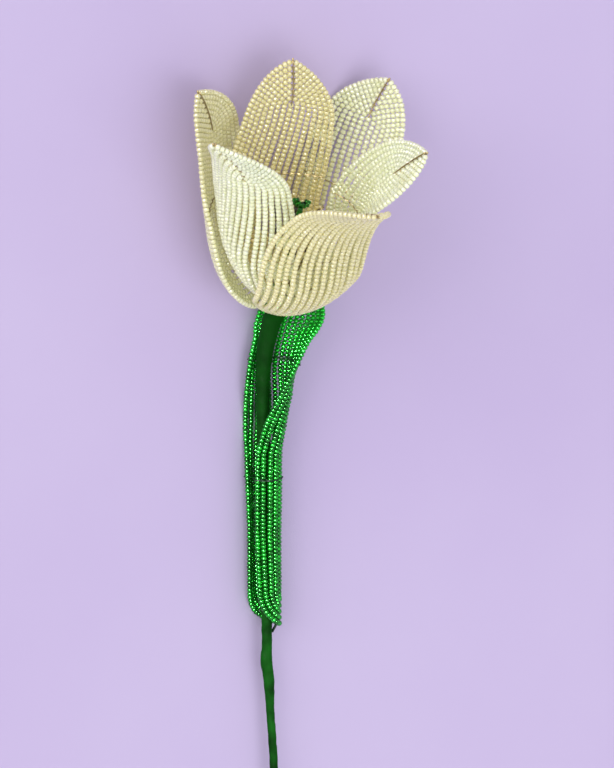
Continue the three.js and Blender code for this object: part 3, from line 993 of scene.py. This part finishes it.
# %% [markdown]
# ## Glass
#
# The cream beads are milky glass with a pearly skin: light goes a little way in and comes out warmer,
# and a thin clear coat gives each bead its small sharp highlight. True transparent glass would be slow
# and noisy here and would lose the milk, so the Principled shader's subsurface does it. The green beads
# are clear glass with a silver lining, which throws light back tinted, so a green metallic base under a
# clear coat comes closest. Both also glow very faintly in their own colour. That stands for the light
# that passes on from bead to bead and keeps the gaps between them from going dark.

# %% Cream, green, dark green and brown glass


def glass(name, deep, pale, painted_light, painted_light_share, **plain):
    material, shader, links = new_material(name)
    tone = add_group(material, BEAD_TONE, Deep=deep, Pale=pale, Warm=painted_light, Warmth=painted_light_share)
    links.new(tone.outputs["Color"], shader.inputs["Base Color"])
    links.new(tone.outputs["Color"], shader.inputs["Emission Color"])
    links.new(tone.outputs["Roughness"], shader.inputs["Roughness"])
    for label, value in plain.items():
        shader.inputs[label.replace("_", " ")].default_value = value
    return material


# Third colours are painted light: a golden glow in the cream, a lighter fan in the green.
cream_glass = glass(
    "cream_glass", deep=(0.63, 0.68, 0.43, 1), pale=(0.71, 0.76, 0.52, 1), painted_light=(0.56, 0.46, 0.19, 1),
    painted_light_share=1.0, Coat_Weight=1.0, Coat_Roughness=0.12, Subsurface_Weight=1.0, Subsurface_Scale=0.003,
    Subsurface_Radius=(1.0, 0.95, 0.6), Emission_Strength=0.14, IOR=1.45)
green_glass = glass(
    "green_glass", deep=(0.0, 0.15, 0.006, 1), pale=(0.006, 0.42, 0.022, 1), painted_light=(0.012, 0.6, 0.04, 1),
    painted_light_share=1.0, Coat_Weight=0.4, Coat_Roughness=0.14, Metallic=0.75, Emission_Strength=0.04, IOR=1.5)
pistil_glass = glass(
    "pistil_glass", deep=(0.0, 0.04, 0.0, 1), pale=(0.01, 0.24, 0.005, 1), painted_light=(0, 0.1, 0, 1),
    painted_light_share=0, Coat_Weight=0.4, Coat_Roughness=0.05, Metallic=0.8, IOR=1.5)
brown_glass = glass(
    "brown_glass", deep=(0.01, 0.004, 0.001, 1), pale=(0.05, 0.018, 0.006, 1), painted_light=(0, 0, 0, 1),
    painted_light_share=0, Coat_Weight=0.8, Coat_Roughness=0.06, IOR=1.5)

# %% [markdown]
# ## Wire and tape
#
# Craft wire is lacquered brass, so it is a metal with a slightly uneven shine. The leaf is bound with
# green lacquered wire, which looks nearly black between the beads. Tape is crinkled waxed paper: fine
# creases along the stem as bump, blotches of lighter green where it is stretched, and hardly any
# shine. Near the bloom it is painted darker: painted shade for the shadow of the bloom.

# %% Wire and tape materials


def wire(name, colour, metallic):
    material, shader, links = new_material(name)
    smudge = add_group(material, SMUDGE, Scale=900.0, Low=0.3, High=0.5)
    links.new(smudge.outputs["Value"], shader.inputs["Roughness"])
    shader.inputs["Base Color"].default_value = colour
    shader.inputs["Metallic"].default_value = metallic
    return material


# Painted shade: the tape is painted darker between these two places along the stem, in metres,
# towards the bloom that shades it.
BLOOM_SHADE_SPAN = (-0.02, 0.045)
CREASE_STRETCH = (1.0, 0.22, 1.0)
CREASE_SCALE = 1500
CREASE_DEPTH = 0.0002


def tape(name, dark, light):
    material, shader, links = new_material(name)
    nodes = material.node_tree.nodes
    blotches = add_group(material, SMUDGE, Scale=140.0, Low=0.0, High=1.0)
    deep, stretched = plain_colour(nodes, dark), plain_colour(nodes, light)
    colour = mix_colours(nodes, links, blotches.outputs["Value"], deep, stretched)
    place = nodes.new("ShaderNodeTexCoord")
    split = nodes.new("ShaderNodeSeparateXYZ")
    links.new(place.outputs["Object"], split.inputs["Vector"])
    # Painted shade: the colour turns to the dark tape colour towards the bloom.
    bloom_shade = map_value(nodes, links, split.outputs["Y"], 0.0, 0.7, *BLOOM_SHADE_SPAN)
    links.new(mix_colours(nodes, links, bloom_shade, colour, deep), shader.inputs["Base Color"])
    stretch = nodes.new("ShaderNodeMapping")
    stretch.inputs["Scale"].default_value = CREASE_STRETCH
    links.new(place.outputs["Object"], stretch.inputs["Vector"])
    creases = nodes.new("ShaderNodeTexNoise")
    creases.inputs["Scale"].default_value = CREASE_SCALE
    creases.inputs["Detail"].default_value = 5
    links.new(stretch.outputs["Vector"], creases.inputs["Vector"])
    bump = nodes.new("ShaderNodeBump")
    bump.inputs["Strength"].default_value = 0.35
    bump.inputs["Distance"].default_value = CREASE_DEPTH
    links.new(creases.outputs["Fac"], bump.inputs["Height"])
    links.new(bump.outputs["Normal"], shader.inputs["Normal"])
    shader.inputs["Roughness"].default_value = 0.5
    shader.inputs["Specular IOR Level"].default_value = 0.04
    return material


brass_wire = wire("brass_wire", (0.3, 0.24, 0.12, 1), 1.0)
green_wire = wire("green_wire", (0.005, 0.03, 0.012, 1), 0.4)
green_tape = tape("green_tape", (0.001, 0.035, 0.001, 1), (0.008, 0.13, 0.008, 1))

# %% [markdown]
# ## Dress the pieces
#
# Each new piece takes its material and rides on the imported body. The imported node is then hidden
# and stays behind as the shape that collides.

# %% Hand the pieces over


def dress(piece, material, node):
    piece.data.materials.append(material)
    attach(piece, "root")
    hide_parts(node)


for number, (beads, wires) in enumerate(petal_pieces, start=1):
    dress(beads, cream_glass, f"petal_{number}")
    dress(wires, brass_wire, f"petal_{number}")
dress(leaf, green_glass, "leaf")
dress(leaf_wires, green_wire, "leaf")
dress(stem, green_tape, "stem")
dress(pistil, pistil_glass, "pistil")
dress(pistil_wire, green_wire, "pistil")
for number, (beads, wires) in enumerate(stamen_pieces, start=1):
    dress(beads, brown_glass, f"stamen_{number}")
    dress(wires, brass_wire, f"stamen_{number}")
for spare in (ROD, BEAD):
    bpy.data.meshes.remove(spare)
pieces = [item for item in bpy.data.objects if item.type == "MESH" and not item.hide_render]
triangles = sum(len(poly.vertices) - 2 for item in pieces for poly in item.data.polygons)
print("pieces shown:", len(pieces), "triangles:", triangles)

# %% [markdown]
# ## The studio
#
# The flower lies on a plain pale floor. The photograph looks into the bloom from slightly beyond its
# far end, so the camera hangs above and looks down, with the stem towards the bottom of the picture.
# It stands far off with a long lens, which keeps the rows parallel as they are in the photograph. Two
# large soft lights and a bright room leave next to no shadow.

# %% Place the camera
IMAGE_WIDTH, IMAGE_HEIGHT = 614, 768
PIXELS_PER_MM = 3.07
BASE_PIXEL = (280, 300.6)
VIEW_ELEVATION = math.radians(78)
CAMERA_DISTANCE = 6000
SENSOR = 36
CLIP_RANGE = (0.05, 20)

view_right = Vector((1, 0, 0))
view_up = Vector((0, math.sin(VIEW_ELEVATION), -math.cos(VIEW_ELEVATION)))
to_camera = Vector((0, math.cos(VIEW_ELEVATION), math.sin(VIEW_ELEVATION)))
aim = (BLOOM_BASE
       + view_right * (IMAGE_WIDTH / 2 - BASE_PIXEL[0]) / PIXELS_PER_MM
       - view_up * (IMAGE_HEIGHT / 2 - BASE_PIXEL[1]) / PIXELS_PER_MM)

right, up, back = (SETTLE_TURN @ way for way in (view_right, view_up, to_camera))
camera_data = bpy.data.cameras.new("camera")
camera_data.sensor_fit = "VERTICAL"
camera_data.sensor_height = SENSOR
camera_data.lens = PIXELS_PER_MM * SENSOR * CAMERA_DISTANCE / IMAGE_HEIGHT
camera_data.clip_start, camera_data.clip_end = CLIP_RANGE
camera = bpy.data.objects.new("camera", camera_data)
camera.matrix_world = Matrix.Translation(settled(aim + to_camera * CAMERA_DISTANCE)) @ Matrix(
    (right, up, back)).transposed().to_4x4()
bpy.context.collection.objects.link(camera)
bpy.context.scene.camera = camera
print("lens in millimetres:", round(camera_data.lens, 1))

# %% Lay the floor and hang the lights
FLOOR_SIZE = 6
LIGHT_DISTANCE = 3.0
ROOM_COLOUR = (0.9, 0.88, 1, 1)
ROOM_STRENGTH = 0.82


def soft_light(name, way, size, watts, colour):
    """A square light that faces the flower from a direction given in the camera's terms."""
    data = bpy.data.lights.new(name, "AREA")
    data.size = size
    data.energy = watts
    data.color = colour
    light = bpy.data.objects.new(name, data)
    place = right * way[0] + up * way[1] + back * way[2]
    light.location = settled(aim) + place.normalized() * LIGHT_DISTANCE
    light.rotation_euler = place.to_track_quat("Z", "Y").to_euler()
    bpy.context.collection.objects.link(light)
    return light


def paper(name, first, second):
    """Matt paper whose two tones flow into each other."""
    material, shader, links = new_material(name)
    nodes = material.node_tree.nodes
    mottle = add_group(material, SMUDGE, Scale=6.0, Low=0.0, High=1.0)
    colour = mix_colours(nodes, links, mottle.outputs["Value"],
                         plain_colour(nodes, first), plain_colour(nodes, second))
    links.new(colour, shader.inputs["Base Color"])
    shader.inputs["Roughness"].default_value = 0.9
    shader.inputs["Specular IOR Level"].default_value = 0.0
    return material


bm = bmesh.new()
bmesh.ops.create_grid(bm, x_segments=1, y_segments=1, size=FLOOR_SIZE / 2)
floor = mesh_piece("floor", bm)
floor.data.materials.append(paper("pale_paper", (0.51, 0.425, 0.625, 1), (0.55, 0.475, 0.655, 1)))

soft_light("key", (-0.6, 0.25, 0.9), 2.4, 38, (1, 0.99, 0.96))
soft_light("fill", (0.6, -0.5, 0.9), 2.5, 34, (0.97, 0.98, 1))
# A small lamp near the camera gives each bead its bright point. It shows in reflections only.
sparkle = soft_light("sparkle", (-0.25, 0.25, 1), 0.7, 360, (1, 1, 1))
sparkle.visible_diffuse = False

world = bpy.data.worlds.new("studio")
world.use_nodes = True
background = world.node_tree.nodes["Background"]
background.inputs["Color"].default_value = ROOM_COLOUR
background.inputs["Strength"].default_value = ROOM_STRENGTH
bpy.context.scene.world = world
bpy.context.scene.view_settings.view_transform = "Standard"
